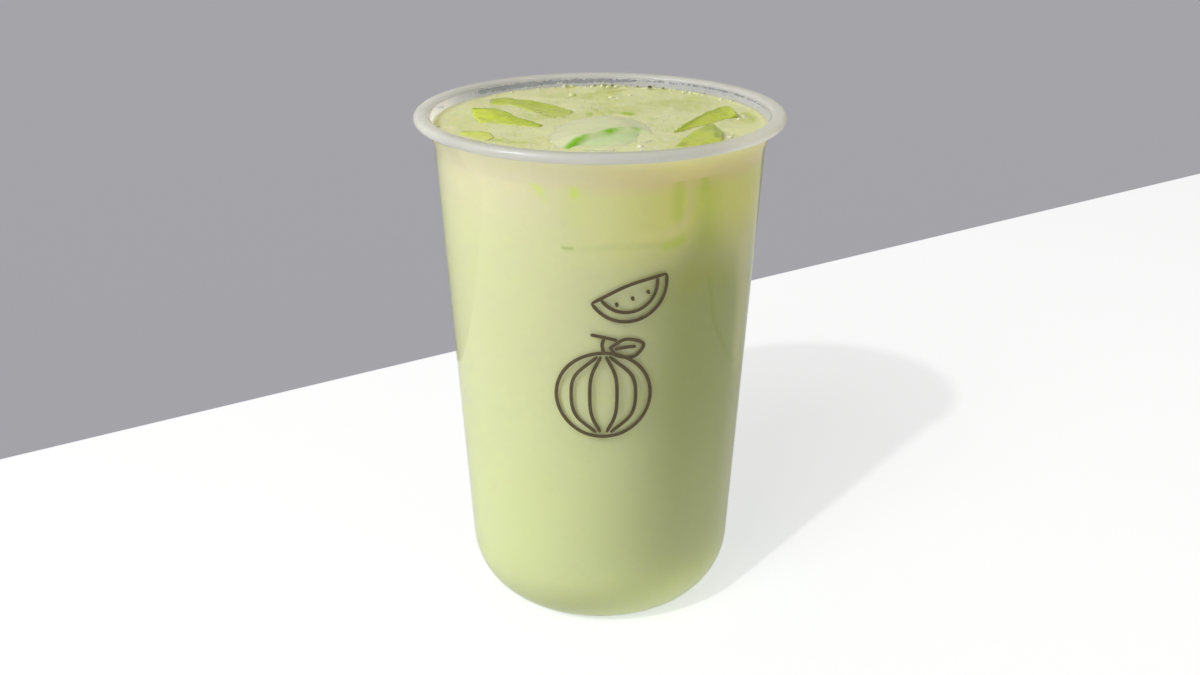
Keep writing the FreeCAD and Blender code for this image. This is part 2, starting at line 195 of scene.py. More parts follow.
# The stage, in metres and radians: a point at the backdrop's foot and the way it runs, the spot the
# lamps look at, the camera's place and how far it looks down. Then the colour of the even light.
BACKDROP_FOOT, BACKDROP_WAY = Vector((-0.183, 0.079)), Vector((0.470, 0.341))
LAMP_AIM = Vector((0, 0, 0.06))
CAMERA_PLACE, CAMERA_DIP = (0.0, -439.04 * MM, 226.15 * MM), 0.3458
EVEN_LIGHT = (1.0, 0.985, 0.76)

# Finer shades, which go with the colours in TeaLook.
SHADES = {
    "painted light at base": (0.83, 0.89, 0.48), "olive": (0.56, 0.58, 0.17), "milk streak and painted edge light": (0.88, 0.83, 0.45),
    "thin line": (0.38, 0.47, 0.12), "froth painted daylight": (0.90, 0.80, 0.41), "warm froth": (0.93, 0.84, 0.42),
    "yellow froth": (0.86, 0.86, 0.25), "green froth": (0.72, 0.82, 0.24), "white froth": (0.97, 0.97, 0.76),
    "froth grain": (0.93, 0.93, 0.64), "calm froth": (0.90, 0.91, 0.54), "fleck": (0.50, 0.66, 0.05),
    "plastic": (0.965, 0.975, 0.955), "rim warm": (0.76, 0.74, 0.74), "rim cool": (0.71, 0.705, 0.71),
    "rim front painted shade": (0.61, 0.60, 0.605), "rim corner painted highlight": (1.0, 0.94, 0.92), "rim right painted light": (0.95, 0.9, 0.9),
    "rim left painted light": (0.90, 0.86, 0.88), "frost": (0.80, 0.86, 0.30), "milk": (0.88, 0.90, 0.60),
    "thin milk": (0.80, 0.84, 0.48), "mint": (0.66, 0.86, 0.46), "vivid green": (0.26, 0.60, 0.01),
    "bubble white": (0.97, 0.97, 0.82), "bubble cream": (0.93, 0.94, 0.66),
    "bubble middle": (0.86, 0.88, 0.46), "bubble painted shade": (0.06, 0.075, 0.055),
    "dry milk": (0.90, 0.84, 0.72), "dry milk blue": (0.68, 0.71, 0.70),
    "dry milk foot": (0.86, 0.88, 0.60), "clear gap painted shade": (0.045, 0.06, 0.06), "film painted glow": (0.11, 0.085, 0.06),
}


def length(name, description, default):
    return FloatProperty(name=name, description=description, default=default, subtype="DISTANCE")


def slope(name, description, degrees):
    return FloatProperty(name=name, description=description, default=math.radians(degrees), subtype="ANGLE")


def paint(name, description, default):
    return FloatVectorProperty(name=name, description=description, default=default, subtype="COLOR")


class CupSizes(bpy.types.PropertyGroup):
    """The cup's own sizes. Its height comes from the frame."""

    height: length("Height", "Foot to rim", CUP_HIGH.z - CUP_LOW.z)
    rim_radius: length("Rim radius", "Outside of the rim", 45.0 * MM)
    body_radius: length("Body radius", "Outside, at the step under the neck", 40.0 * MM)
    taper: slope("Wall taper", "Slope of the wall on each side", 4.09)
    wall: length("Wall", "Thickness of the wall", 0.8 * MM)
    corner: length("Corner", "Radius between wall and foot", 18.4 * MM)
    foot_angle: slope("Foot angle", "Where the foot cuts the corner's arc", 16.4)
    floor: length("Floor", "Thickness of the base", 1.2 * MM)
    recess: length("Recess", "Depth of the hollow under the base", 0.5 * MM)
    recess_radius: length("Recess radius", "Edge of the hollow under the base", 16.6 * MM)
    neck: length("Neck", "Height from the step to the top", 8.4 * MM)
    flare: length("Flare", "How far the neck widens", 2.2 * MM)
    neck_bend: length("Neck bend", "Radius of the neck's hollow curve", 35.0 * MM)
    rim: length("Rim", "Thickness of the rim", 2.4 * MM)
    rim_round: length("Rim round", "Rounding of the mouth's edge", 0.9 * MM)
    steps: IntProperty(name="Steps", description="Steps round the cup", default=360)


class TeaLook(bpy.types.PropertyGroup):
    """Levels and colours of the contents."""

    gap: length("Gap", "Rim down to the surface", 3.0 * MM)
    froth: length("Froth", "Depth of the froth", 5.4 * MM)
    marks_from: length("Marks from", "Height over which ice shows at the wall", 64.0 * MM)
    bite: length("Bite", "How far the drink reaches into the wall", 0.12 * MM)
    tea: paint("Tea", "The milky drink", (0.665, 0.675, 0.41))
    tea_green: paint("Green", "Drink where ice lies near the wall", (0.60, 0.74, 0.08))
    # Painted light: the colour laid where daylight comes through the drink.
    tea_painted_daylight: paint("Warm", "Drink with daylight coming through it", (0.88, 0.86, 0.31))
    tea_low: paint("Low drink", "Colour of the drink near the floor", (0.68, 0.72, 0.405))
    # Painted shade: the drink's colour on the side away from the key lamp.
    tea_painted_shade: paint("Deep", "Drink on the cup's dark side", (0.53, 0.57, 0.26))
    tea_pale: paint("Pale", "Thick milk over ice", (0.73, 0.73, 0.50))
    cream: paint("Cream", "Froth at the wall", (0.70, 0.66, 0.46))
    foam: paint("Foam", "Froth on the surface", (0.86, 0.87, 0.42))
    foam_green: paint("Foam green", "Froth over sunk ice", (0.64, 0.70, 0.15))
    ice: paint("Ice", "Wet ice, full of the drink's colour", (0.74, 0.84, 0.06))
    # Also the painted shade on the ice's turned-away faces.
    ice_deep_and_shade: paint("Ice deep", "Ice in its darker folds", (0.36, 0.47, 0.02))
    ink: paint("Ink", "The print's brown", (0.085, 0.062, 0.03))


class StageSettings(bpy.types.PropertyGroup):
    """Lamps and camera."""

    key_power: FloatProperty(name="Key", description="Power of the large lamp on the left, in watts",
                             default=4.6)
    floor_power: FloatProperty(name="Floor lamp", description="Power of the lamps that light the floor "
                               "and throw the shadow on it, in watts", default=22.5)
    world: FloatProperty(name="World", description="Strength of the even light", default=0.40)
    lens: FloatProperty(name="Lens", description="Focal length on a 36 mm sensor, in mm", default=55.5)


def props(name):
    return getattr(bpy.context.scene, name)


def surface_level():
    """Height of the drink's surface."""
    return props("cup_sizes").height - props("tea_look").gap


# ---- modelling helpers

def deselect():
    """Back to object mode with nothing selected."""
    if bpy.context.object and bpy.context.object.mode != "OBJECT":
        bpy.ops.object.mode_set(mode="OBJECT")
    bpy.ops.object.select_all(action="DESELECT")


def pick(piece):
    """Select one object alone and make it active."""
    deselect()
    piece.select_set(True)
    bpy.context.view_layer.objects.active = piece


def named(piece, name):
    piece.name = name
    piece.data.name = name
    return piece


def apply_modifiers(piece):
    pick(piece)
    for modifier in list(piece.modifiers):
        bpy.ops.object.modifier_apply(modifier=modifier.name)


def smooth(piece, angle=math.radians(40)):
    pick(piece)
    bpy.ops.object.shade_smooth_by_angle(angle=angle)


def edit_all():
    """Into edit mode with everything selected."""
    bpy.ops.object.mode_set(mode="EDIT")
    bpy.ops.mesh.select_all(action="SELECT")


def placed(name, data):
    """A new object in the scene, at the origin."""
    piece = bpy.data.objects.new(name, data)
    bpy.context.collection.objects.link(piece)
    return piece


def dress(piece, *materials):
    for material in materials:
        piece.data.materials.append(material)


def finish_piece(piece, slot, *nodes):
    """Hang a finished piece on the part's one body."""
    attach(piece, "root")
    if nodes:
        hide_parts(*nodes)


def arc(centre, radius, first, last, count):
    """Points on an arc. Angles are in radians from straight down, turning outwards."""
    turns = (first + (last - first) * i / count for i in range(count + 1))
    return [(centre[0] + radius * math.sin(a), centre[1] - radius * math.cos(a)) for a in turns]


def hollow_arc(low, high, bend, count):
    """Points from low up to high on an arc that bends in towards the axis."""
    lo, hi = Vector(low), Vector(high)
    way = hi - lo
    out = Vector((way.y, -way.x)).normalized()
    centre = (lo + hi) / 2 + out * math.sqrt(bend ** 2 - (way.length / 2) ** 2)
    first, last = (math.atan2(end.y - centre.y, end.x - centre.x) % math.tau + math.pi / 2
                   for end in (lo, hi))
    return arc(centre, bend, first, last, count)


def straight(first, last, count):
    return [(first[0] + (last[0] - first[0]) * i / count,
             first[1] + (last[1] - first[1]) * i / count) for i in range(count + 1)]


def thinned(line, least=1e-6):
    """The line without repeated points."""
    kept = [line[0]]
    for spot in line[1:]:
        if math.dist(spot, kept[-1]) > least:
            kept.append(spot)
    return kept


def wall_line(inset, rows):
    """The wall's line at an inset from the outside, from the corner up to the mouth.

    rows is the number of steps up the straight wall. Returns the corner's points, the straight
    wall's and the neck's.
    """
    c = props("cup_sizes")
    lift = c.corner * math.cos(c.foot_angle)
    step = c.height - c.neck
    centre = (c.body_radius - (step - lift) * math.tan(c.taper) - c.corner / math.cos(c.taper), lift)
    bend = c.corner - inset
    if inset:
        first = math.acos((lift - c.floor - c.recess) / bend)
    else:
        first = c.foot_angle
    corner = arc(centre, bend, first, math.pi / 2 - c.taper, 24)
    at_step = (c.body_radius - inset / math.cos(c.taper), step)
    wall = straight(corner[-1], at_step, rows)
    top = c.height if inset else c.height - c.rim
    reach = c.body_radius + c.flare - inset
    neck = hollow_arc(at_step, (reach, top), c.neck_bend, 14)
    return corner, wall, neck


def table(places, rows):
    """Numbers read at each place from rows of (place, number), straight between them."""
    return np.interp(places, *zip(*rows))


def radius_at(line, height):
    """Radius of a rising line at a height."""
    return table(height, [(z, x) for x, z in line])


def lathe(name, line, steps):
    """Extrude one vertex along the line and spin it about the cup's axis."""
    deselect()
    bpy.ops.mesh.primitive_plane_add(size=MM)
    piece = named(bpy.context.object, name)
    edit_all()
    bpy.ops.mesh.merge(type="CENTER")
    bpy.ops.transform.translate(value=(line[0][0], 0, line[0][1]))
    for here, there in zip(line, line[1:]):
        way = (there[0] - here[0], 0, there[1] - here[1])
        bpy.ops.mesh.extrude_region_move(TRANSFORM_OT_translate={"value": way})
    bpy.ops.mesh.select_all(action="SELECT")
    bpy.ops.mesh.spin(steps=steps, angle=math.tau, center=(0, 0, 0), axis=(0, 0, 1))
    bpy.ops.mesh.select_all(action="SELECT")
    bpy.ops.mesh.remove_doubles(threshold=1e-7)
    bpy.ops.mesh.normals_make_consistent(inside=False)
    bpy.ops.object.mode_set(mode="OBJECT")
    smooth(piece)
    return piece


def points_of(piece):
    co = np.empty(len(piece.data.vertices) * 3, dtype=np.float32)
    piece.data.vertices.foreach_get("co", co)
    return co.reshape(-1, 3)


def set_points(piece, co):
    piece.data.vertices.foreach_set("co", np.ascontiguousarray(co, dtype=np.float32).ravel())
    piece.data.update()


def set_mask(piece, name, values):
    """Store one number per vertex, which a material reads by name."""
    layer = piece.data.attributes.new(name, "FLOAT", "POINT")
    layer.data.foreach_set("value", np.ascontiguousarray(values, dtype=np.float32))


def inside(x, y, corners):
    """Whether a spot lies within a closed chain of corners."""
    within = False
    for (ax, ay), (bx, by) in zip(corners, corners[1:] + corners[:1]):
        if (ay > y) != (by > y) and x < ax + (bx - ax) * (y - ay) / (by - ay):
            within = not within
    return within


def ramp(value):
    """Smooth step of an array, between 0 and 1."""
    value = np.clip(value, 0, 1)
    return value * value * (3 - 2 * value)


def line_distance(flat, spots):
    """Distance of each flat point to a chain of straight runs."""
    best = np.full(len(flat), 1e9)
    for a, b in zip(spots, spots[1:]):
        a, b = np.array(a), np.array(b)
        way = b - a
        along = np.clip(((flat - a) @ way) / max(way @ way, 1e-12), 0, 1)
        best = np.minimum(best, np.linalg.norm(flat - a - along[:, None] * way, axis=1))
    return best


def stroke_strength(flat, strokes, least=0.0):
    """How strongly each flat point is marked by soft strokes: a path, half width, softness, strength."""
    value = np.full(len(flat), least)
    for path, half, soft, strength in strokes:
        away = line_distance(flat, path)
        value = np.maximum(value, strength * ramp(1 - (away - half) / soft))
    return value


def wall_marks(co, marks):
    """How strongly each wall point is marked by strokes whose points are (degrees from the front, height)."""
    radius = props("cup_sizes").body_radius / MM
    flat = np.stack([np.arctan2(co[:, 0], -co[:, 1]) * radius, co[:, 2] / MM], axis=1)
    return stroke_strength(flat, [([(math.radians(turn) * radius, height) for turn, height in path], *rest)
                                  for path, *rest in marks])


def painted_wall_light(co):
    """Where daylight coming through the drink is painted, where shade is painted on its dark side, and where
    froth has sunk along the wall.
    """
    turn, high = np.degrees(np.arctan2(co[:, 0], -co[:, 1])), co[:, 2] / MM
    warm = table(turn, DAYLIGHT) * ramp((122 - turn) / 62)
    warm = warm * ramp((high - table(turn, DAYLIGHT_FOOT)) / table(turn, DAYLIGHT_SOFT))
    dark = ramp((turn - 8) / 26) * ramp((110 - turn) / 30) * ramp((high - 10) / 70)
    dark = dark * ramp((table(turn, PAINTED_SHADE_TOP) - high) / 15)
    creamy = np.maximum(ramp((8 - turn) / 34), ramp((turn - 90) / 30))
    return warm, dark, creamy


def surface_patches(co, patches):
    """How strongly each surface point is tinted by ice sunk under it."""
    value = np.zeros(len(co))
    for x, y, long, wide, turn, strength in patches:
        a = math.radians(turn)
        dx, dy = co[:, 0] / MM - x, co[:, 1] / MM - y
        u = (dx * math.cos(a) + dy * math.sin(a)) / long
        v = (-dx * math.sin(a) + dy * math.cos(a)) / wide
        value = np.maximum(value, strength * ramp(1.6 - 1.1 * np.hypot(u, v)))
    return value


def waves(co, size, seed):
    """Smooth uneven waves at each point, about -1 to 1. size is their usual length in millimetres."""
    rng = np.random.default_rng(seed)
    total = np.zeros(len(co))
    for _ in range(16):
        way = rng.normal(size=3)
        way *= rng.uniform(0.6, 1.5) * math.tau / (np.linalg.norm(way) * size * MM)
        total += np.sin(co @ way + rng.uniform(0, math.tau))
    return total / 5.0


# ---- node helpers

class Nodes:
    """Short calls for building one node tree. What they are given is a plain value or a node's output."""

    def __init__(self, tree):
        self.tree = tree
        tree.nodes.clear()

    def add(self, kind, **settings):
        node = self.tree.nodes.new(kind)
        for key, value in settings.items():
            setattr(node, key, value)
        return node

    def link(self, source, target):
        self.tree.links.new(source, target)

    def put(self, socket, value):
        """Link an output to a socket, or set the socket. A colour is given without its alpha."""
        if hasattr(value, "is_output"):
            self.link(value, socket)
        elif socket.type == "RGBA":
            socket.default_value = (*value, 1.0)
        else:
            socket.default_value = value

    def fill(self, node, **values):
        """Put values on a node's inputs. Underscores in a name stand for spaces."""
        for key, value in values.items():
            self.put(node.inputs[key.replace("_", " ")], value)
        return node

    def place(self):
        return self.add("ShaderNodeTexCoord").outputs["Object"]

    def axis(self, name):
        return self.fill(self.add("ShaderNodeSeparateXYZ"), Vector=self.place()).outputs[name]

    def mask(self, name):
        return self.add("ShaderNodeAttribute", attribute_name=name).outputs["Fac"]

    def noise(self, scale, detail=3.0, rough=0.5, stretch=None):
        spot = self.place()
        if stretch:
            spot = self.fill(self.add("ShaderNodeMapping"), Vector=spot, Scale=stretch).outputs[0]
        node = self.fill(self.add("ShaderNodeTexNoise"), Vector=spot, Scale=scale, Detail=detail,
                         Roughness=rough)
        return node.outputs["Fac"]

    def math(self, operation, one, other=0.0, clamp=False):
        node = self.add("ShaderNodeMath", operation=operation, use_clamp=clamp)
        for socket, value in zip(node.inputs, (one, other)):
            self.put(socket, value)
        return node.outputs[0]

    def times(self, one, other):
        return self.math("MULTIPLY", one, other)

    def span(self, value, low, high, to_low=0.0, to_high=1.0):
        """A value from low to high, carried over smoothly to another range."""
        node = self.add("ShaderNodeMapRange", interpolation_type="SMOOTHSTEP")
        return self.fill(node, Value=value, From_Min=low, From_Max=high, To_Min=to_low,
                         To_Max=to_high).outputs["Result"]

    def mix(self, factor, one, other):
        node = self.add("ShaderNodeMix", data_type="RGBA")
        for key, value in ((0, factor), (6, one), (7, other)):
            self.put(node.inputs[key], value)
        return node.outputs[2]

    def layers(self, colour, *coats):
        """Lay coats over a colour, each a mask and a colour. A mask or shade may be given by its name."""
        for mask, coat in coats:
            mask = self.mask(mask) if isinstance(mask, str) else mask
            colour = self.mix(mask, colour, SHADES[coat] if isinstance(coat, str) else coat)
        return colour

    def bump(self, height, distance, strength):
        node = self.fill(self.add("ShaderNodeBump"), Height=height, Distance=distance, Strength=strength)
        return node.outputs["Normal"]

    def principled(self, colour, rough, **values):
        return self.fill(self.add("ShaderNodeBsdfPrincipled"), Base_Color=colour, Roughness=rough,
                         **values).outputs["BSDF"]

    def milky(self, colour, rough, reach, depth, weight=1.0, **values):
        """A shader that light sinks into, by its reach in red, green and blue and its depth."""
        return self.principled(colour, rough, Subsurface_Weight=weight, Subsurface_Radius=reach,
                               Subsurface_Scale=depth, **values)

    def lamps_through(self, shader):
        """Let lamp light pass, as thin clear plastic does."""
        shadow = self.add("ShaderNodeLightPath").outputs["Is Shadow Ray"]
        clear = self.add("ShaderNodeBsdfTransparent").outputs[0]
        mixed = self.add("ShaderNodeMixShader")
        for socket, source in zip(mixed.inputs, (shadow, shader, clear)):
            self.link(source, socket)
        return mixed.outputs[0]


def new_material(name, finish):
    """A material made by a finish: a function that is given the nodes and returns the shader."""
    material = bpy.data.materials.new(name)
    material.use_nodes = True
    n = Nodes(material.node_tree)
    n.link(finish(n), n.add("ShaderNodeOutputMaterial").inputs["Surface"])
    return material


def froth_group():
    """Fine froth: tiny bubbles as relief, and a grain that lightens and darkens the colour."""
    tree = bpy.data.node_groups.get("FineFroth")
    if tree:
        return tree
    tree = bpy.data.node_groups.new("FineFroth", "ShaderNodeTree")
    for name, way, default in (("Scale", "INPUT", 1.0), ("Density", "INPUT", 0.5),
                               ("Height", "OUTPUT", 0.0), ("Grain", "OUTPUT", 0.0)):
        socket = tree.interface.new_socket(name=name, in_out=way, socket_type="NodeSocketFloat")
        socket.default_value = default
    n = Nodes(tree)
    given = n.add("NodeGroupInput")
    put = n.add("NodeGroupOutput")
    fine = n.add("ShaderNodeTexVoronoi")
    coarse = n.add("ShaderNodeTexVoronoi")
    fog = n.add("ShaderNodeTexNoise")
    for node, scale in ((fine, 2600.0), (coarse, 1100.0), (fog, 420.0)):
        n.fill(node, Vector=n.place(), Scale=n.times(given.outputs["Scale"], scale))
    domes = n.math("SUBTRACT", 0.62, fine.outputs["Distance"], clamp=True)
    large = n.math("SUBTRACT", 0.38, coarse.outputs["Distance"], clamp=True)
    patchy = n.span(fog.outputs["Fac"], 0.42, 0.62)
    large = n.times(n.times(large, patchy), 1.8)
    height = n.times(n.math("ADD", domes, large), given.outputs["Density"])
    grain = n.math("ADD", n.times(fine.outputs["Distance"], 0.5), n.times(fog.outputs["Fac"], 0.5))
    n.fill(put, Height=height, Grain=grain)
    return tree


# ---- finishes

def tea_finish(n):
    """Milky tea: pale green, with ice glowing behind the wall, letting more light through on top, and with
    painted daylight, painted shade and painted light laid into its colour.
    """
    look = props("tea_look")
    foot = surface_level() - look.froth
    high = n.axis("Z")
    cloudy = n.span(n.noise(55.0, 4.0), 0.3, 0.7, 0.0, 0.10)
    # Painted shade on the dark side, turning olive towards the top.
    dark = n.mix(n.span(high, *OLIVE_DRINK), look.tea_painted_shade, SHADES["olive"])
    long = n.times(n.span(high, foot - 18 * MM, foot, 0.0, 0.85), n.mask("creamy"))
    froth = n.math("MAXIMUM", long, n.span(high, foot - 3.5 * MM, foot))
    colour = n.layers(look.tea, (cloudy, look.tea_pale), (n.span(high, *LOW_DRINK), look.tea_low),
                      ("base", "painted light at base"), ("deep", dark), ("warm", look.tea_painted_daylight),
                      ("pale", "milk streak and painted edge light"), (froth, side_colour(n)), ("green", look.tea_green),
                      ("line", "thin line"))
    depth = n.span(high, 85 * MM, foot, 1.5 * MM, 8.0 * MM)
    return n.milky(colour, 0.5, (1.0, 1.0, 0.45), depth, Specular_IOR_Level=0.0)


def side_colour(n):
    """The froth's cream behind the wall, with painted golden light where daylight comes through."""
    return n.mix(n.mask("warm"), props("tea_look").cream, SHADES["froth painted daylight"])


def foam_finish(n):
    """Froth: cream at the wall, pale green on top with fine bubbles and tinted patches."""
    look = props("tea_look")
    froth = n.fill(n.add("ShaderNodeGroup", node_tree=froth_group()), Scale=1.0, Density=1.0)
    side = n.mask("side")
    drawn_out = (1.0, 0.45, 1.0)
    broad = n.span(n.noise(110.0, 2.0, 0.5, drawn_out), 0.45, 0.62, 0.0, 0.7)
    middling = n.span(n.noise(420.0, 3.0, 0.6, drawn_out), 0.46, 0.6, 0.0, 0.8)
    small = n.span(n.noise(760.0, 3.0, 0.65, drawn_out), 0.52, 0.64, 0.0, 0.9)
    grain = n.span(froth.outputs["Grain"], 0.2, 0.62, 0.0, 0.5)
    colour = n.layers(look.foam, ("cream", "warm froth"), (broad, "yellow froth"), (middling, "green froth"),
                      (small, "white froth"), (grain, "froth grain"), ("green", look.foam_green),
                      ("pale", "calm froth"), ("fleck", "fleck"), (side, side_colour(n)))
    rough_part = n.math("SUBTRACT", n.math("SUBTRACT", 1.0, side), n.mask("pale"), clamp=True)
    relief = n.times(froth.outputs["Height"], rough_part)
    return n.milky(colour, 0.38, (1.0, 1.0, 0.5), n.span(side, 0.0, 1.0, 0.8 * MM, 8.0 * MM), IOR=1.34,
                   Normal=n.bump(relief, 0.26 * MM, 0.9))


def wall_finish(n):
    """Clear plastic with a faint frost. Lamps pass through."""
    haze = n.span(n.noise(180.0, 3.0), 0.3, 0.7, 0.06, 0.13)
    return n.lamps_through(n.principled(SHADES["plastic"], haze, IOR=1.33, Transmission_Weight=1.0))


def rim_finish(n):
    """The thick rim: the same plastic, milky with its thickness, under a smooth skin. Its colour holds
    painted shade at the front, a painted highlight at the front right and painted light at both ends.
    """
    across = n.axis("X")
    front = n.span(n.axis("Y"), 5 * MM, -28 * MM)
    colour = n.layers(SHADES["rim warm"], (n.span(n.noise(90.0, 2.0), 0.35, 0.65), "rim cool"),
                      # Painted shade: the rim made darker towards the front.
                      (front, "rim front painted shade"),
                      # Painted highlight at the front right of the rim.
                      (n.times(front, n.span(across, 22 * MM, 40 * MM)), "rim corner painted highlight"),
                      # Painted light: both ends of the rim made lighter where they lie in shade.
                      (n.span(across, 30 * MM, 43 * MM, 0.0, 0.6), "rim right painted light"),
                      (n.span(across, -33 * MM, -42 * MM), "rim left painted light"))
    shader = n.milky(colour, 0.42, (1.0, 1.0, 1.0), 7.0 * MM, IOR=1.45, Transmission_Weight=0.22,
                     Coat_Weight=0.35, Coat_Roughness=0.04)
    return n.lamps_through(shader)


def ice_finish(n):
    """Wet ice that glows with the drink's green, under a broken film of milk, with painted shade on its
    turned-away faces.
    """
    look = props("tea_look")
    film = n.mask("film")
    broken = n.span(n.noise(700.0, 4.0), 0.35, 0.65, -0.35, 0.35)
    ragged = n.times(broken, n.times(film, n.math("SUBTRACT", 1.0, film)))
    colour = n.layers(look.ice_deep_and_shade, (n.span(n.noise(130.0, 3.0, 0.55), 0.32, 0.55, 0.35, 1.0), look.ice),
                      (n.span(n.noise(900.0, 3.0), 0.52, 0.68, 0.0, 0.6), "frost"),
                      ("edge", look.ice_deep_and_shade), (n.math("ADD", film, ragged, clamp=True), look.foam))
    relief = n.math("ADD", n.noise(260.0, 2.0), n.times(n.noise(900.0, 2.0), 0.25))
    return n.milky(colour, 0.10, (0.8, 1.0, 0.25), 0.9 * MM, 0.7, IOR=1.31,
                   Normal=n.bump(relief, 0.4 * MM, 0.5))


def milky_ice_finish(n):
    """The large middle piece: ice under a smooth film of milk that has run off its ridge."""
    colour = n.layers(SHADES["milk"], (n.span(n.noise(240.0, 2.0), 0.3, 0.7, 0.0, 0.35), "thin milk"),
                      (n.times(n.mask("mint"), 0.75), "mint"), ("green", "vivid green"))
    return n.milky(colour, 0.22, (0.8, 1.0, 0.5), 0.9 * MM, IOR=1.34,
                   Normal=n.bump(n.noise(500.0, 3.0), 0.15 * MM, 0.5))


def bubble_finish(n):
    """Wet bubbles: a pale ring, and a middle that shows what lies behind the thin film; the dark middles are
    painted shade.
    """
    colour = n.layers(SHADES["bubble white"], (n.span(n.noise(350.0, 2.0), 0.35, 0.65), "bubble cream"),
                      ("core", "bubble middle"), ("dark", "bubble painted shade"))
    return n.milky(colour, 0.12, (1.0, 1.0, 0.6), 0.4 * MM, IOR=1.33)


def film_finish(n):
    """Milk dried on the clear wall above the drink, broken by clear streaks painted dark as shade, with a
    painted glow at the far left.
    """
    fine = n.math("ADD", n.times(n.span(n.noise(1400.0, 3.0, 0.6), 0.3, 0.7), 0.55),
                  n.times(n.span(n.noise(420.0, 2.0), 0.3, 0.7), 0.45))
    clear = n.span(n.math("SUBTRACT", n.mask("clear"), n.times(fine, 0.8)), -0.12, 0.2)
    colour = n.layers(SHADES["dry milk"], ("blue", "dry milk blue"), ("foot", "dry milk foot"),
                      (clear, "clear gap painted shade"))
    # Painted light: a glow on the film at the far left.
    glow = n.mix(n.mask("milk"), (0.0, 0.0, 0.0), SHADES["film painted glow"])
    return n.milky(colour, 0.3, (1.0, 1.0, 1.0), 1.0 * MM, IOR=1.34, Alpha=0.93, Emission_Color=glow,
                   Emission_Strength=1.0)


def ink_finish(n):
    """Brown print, slightly uneven."""
    ink = props("tea_look").ink
    colour = n.mix(n.span(n.noise(600.0, 3.0), 0.3, 0.7), ink, tuple(1.35 * v for v in ink))
    return n.principled(colour, 0.5, IOR=1.45)


# ---- operators

class MELONTEA_OT_cup(bpy.types.Operator):
    """Spin the clear cup with its milky rim"""
    bl_idname = "melontea.cup"
    bl_label = "Cup"

    def execute(self, context):
        c = props("cup_sizes")
        corner, wall, neck = wall_line(0.0, 30)
        inner_corner, inner_wall, inner_neck = wall_line(c.wall, 30)
        under = c.height - c.rim
        half = c.rim / 2
        bead = arc((c.rim_radius - half, c.height - half), half, 0.0, math.pi, 14)
        mouth = inner_neck[-1][0]
        lip = [(mouth + c.rim_round * (1 - math.sin(a)), c.height - c.rim_round * (1 - math.cos(a)))
               for a in (math.radians(15 * i) for i in range(7))]
        inner_neck = [s for s in inner_neck if s[1] < c.height - c.rim_round - 0.2 * MM]
        bevel, fillet = 0.1 * MM, 0.3 * MM
        line = [(0.0, c.recess), (c.recess_radius - bevel, c.recess), (c.recess_radius, c.recess - bevel),
                (c.recess_radius, bevel), (c.recess_radius + bevel, 0.0)]
        line += corner + wall[1:] + neck[1:-1]
        line += [(neck[-1][0], under - 0.25 * MM), (neck[-1][0] + fillet, under)] + bead
        line += lip + inner_neck[::-1] + inner_wall[::-1][1:] + inner_corner[::-1][1:]
        line += [(0.0, c.floor + c.recess)]
        piece = lathe("cup_shell", thinned(line), c.steps)
        dress(piece, new_material("ClearWall", wall_finish), new_material("MilkyRim", rim_finish))
        for face in piece.data.polygons:
            far = math.hypot(face.center.x, face.center.y)
            face.material_index = int(face.center.z > under - fillet and far > mouth - 0.2 * MM)
        finish_piece(piece, "cup", "cup")
        return {"FINISHED"}


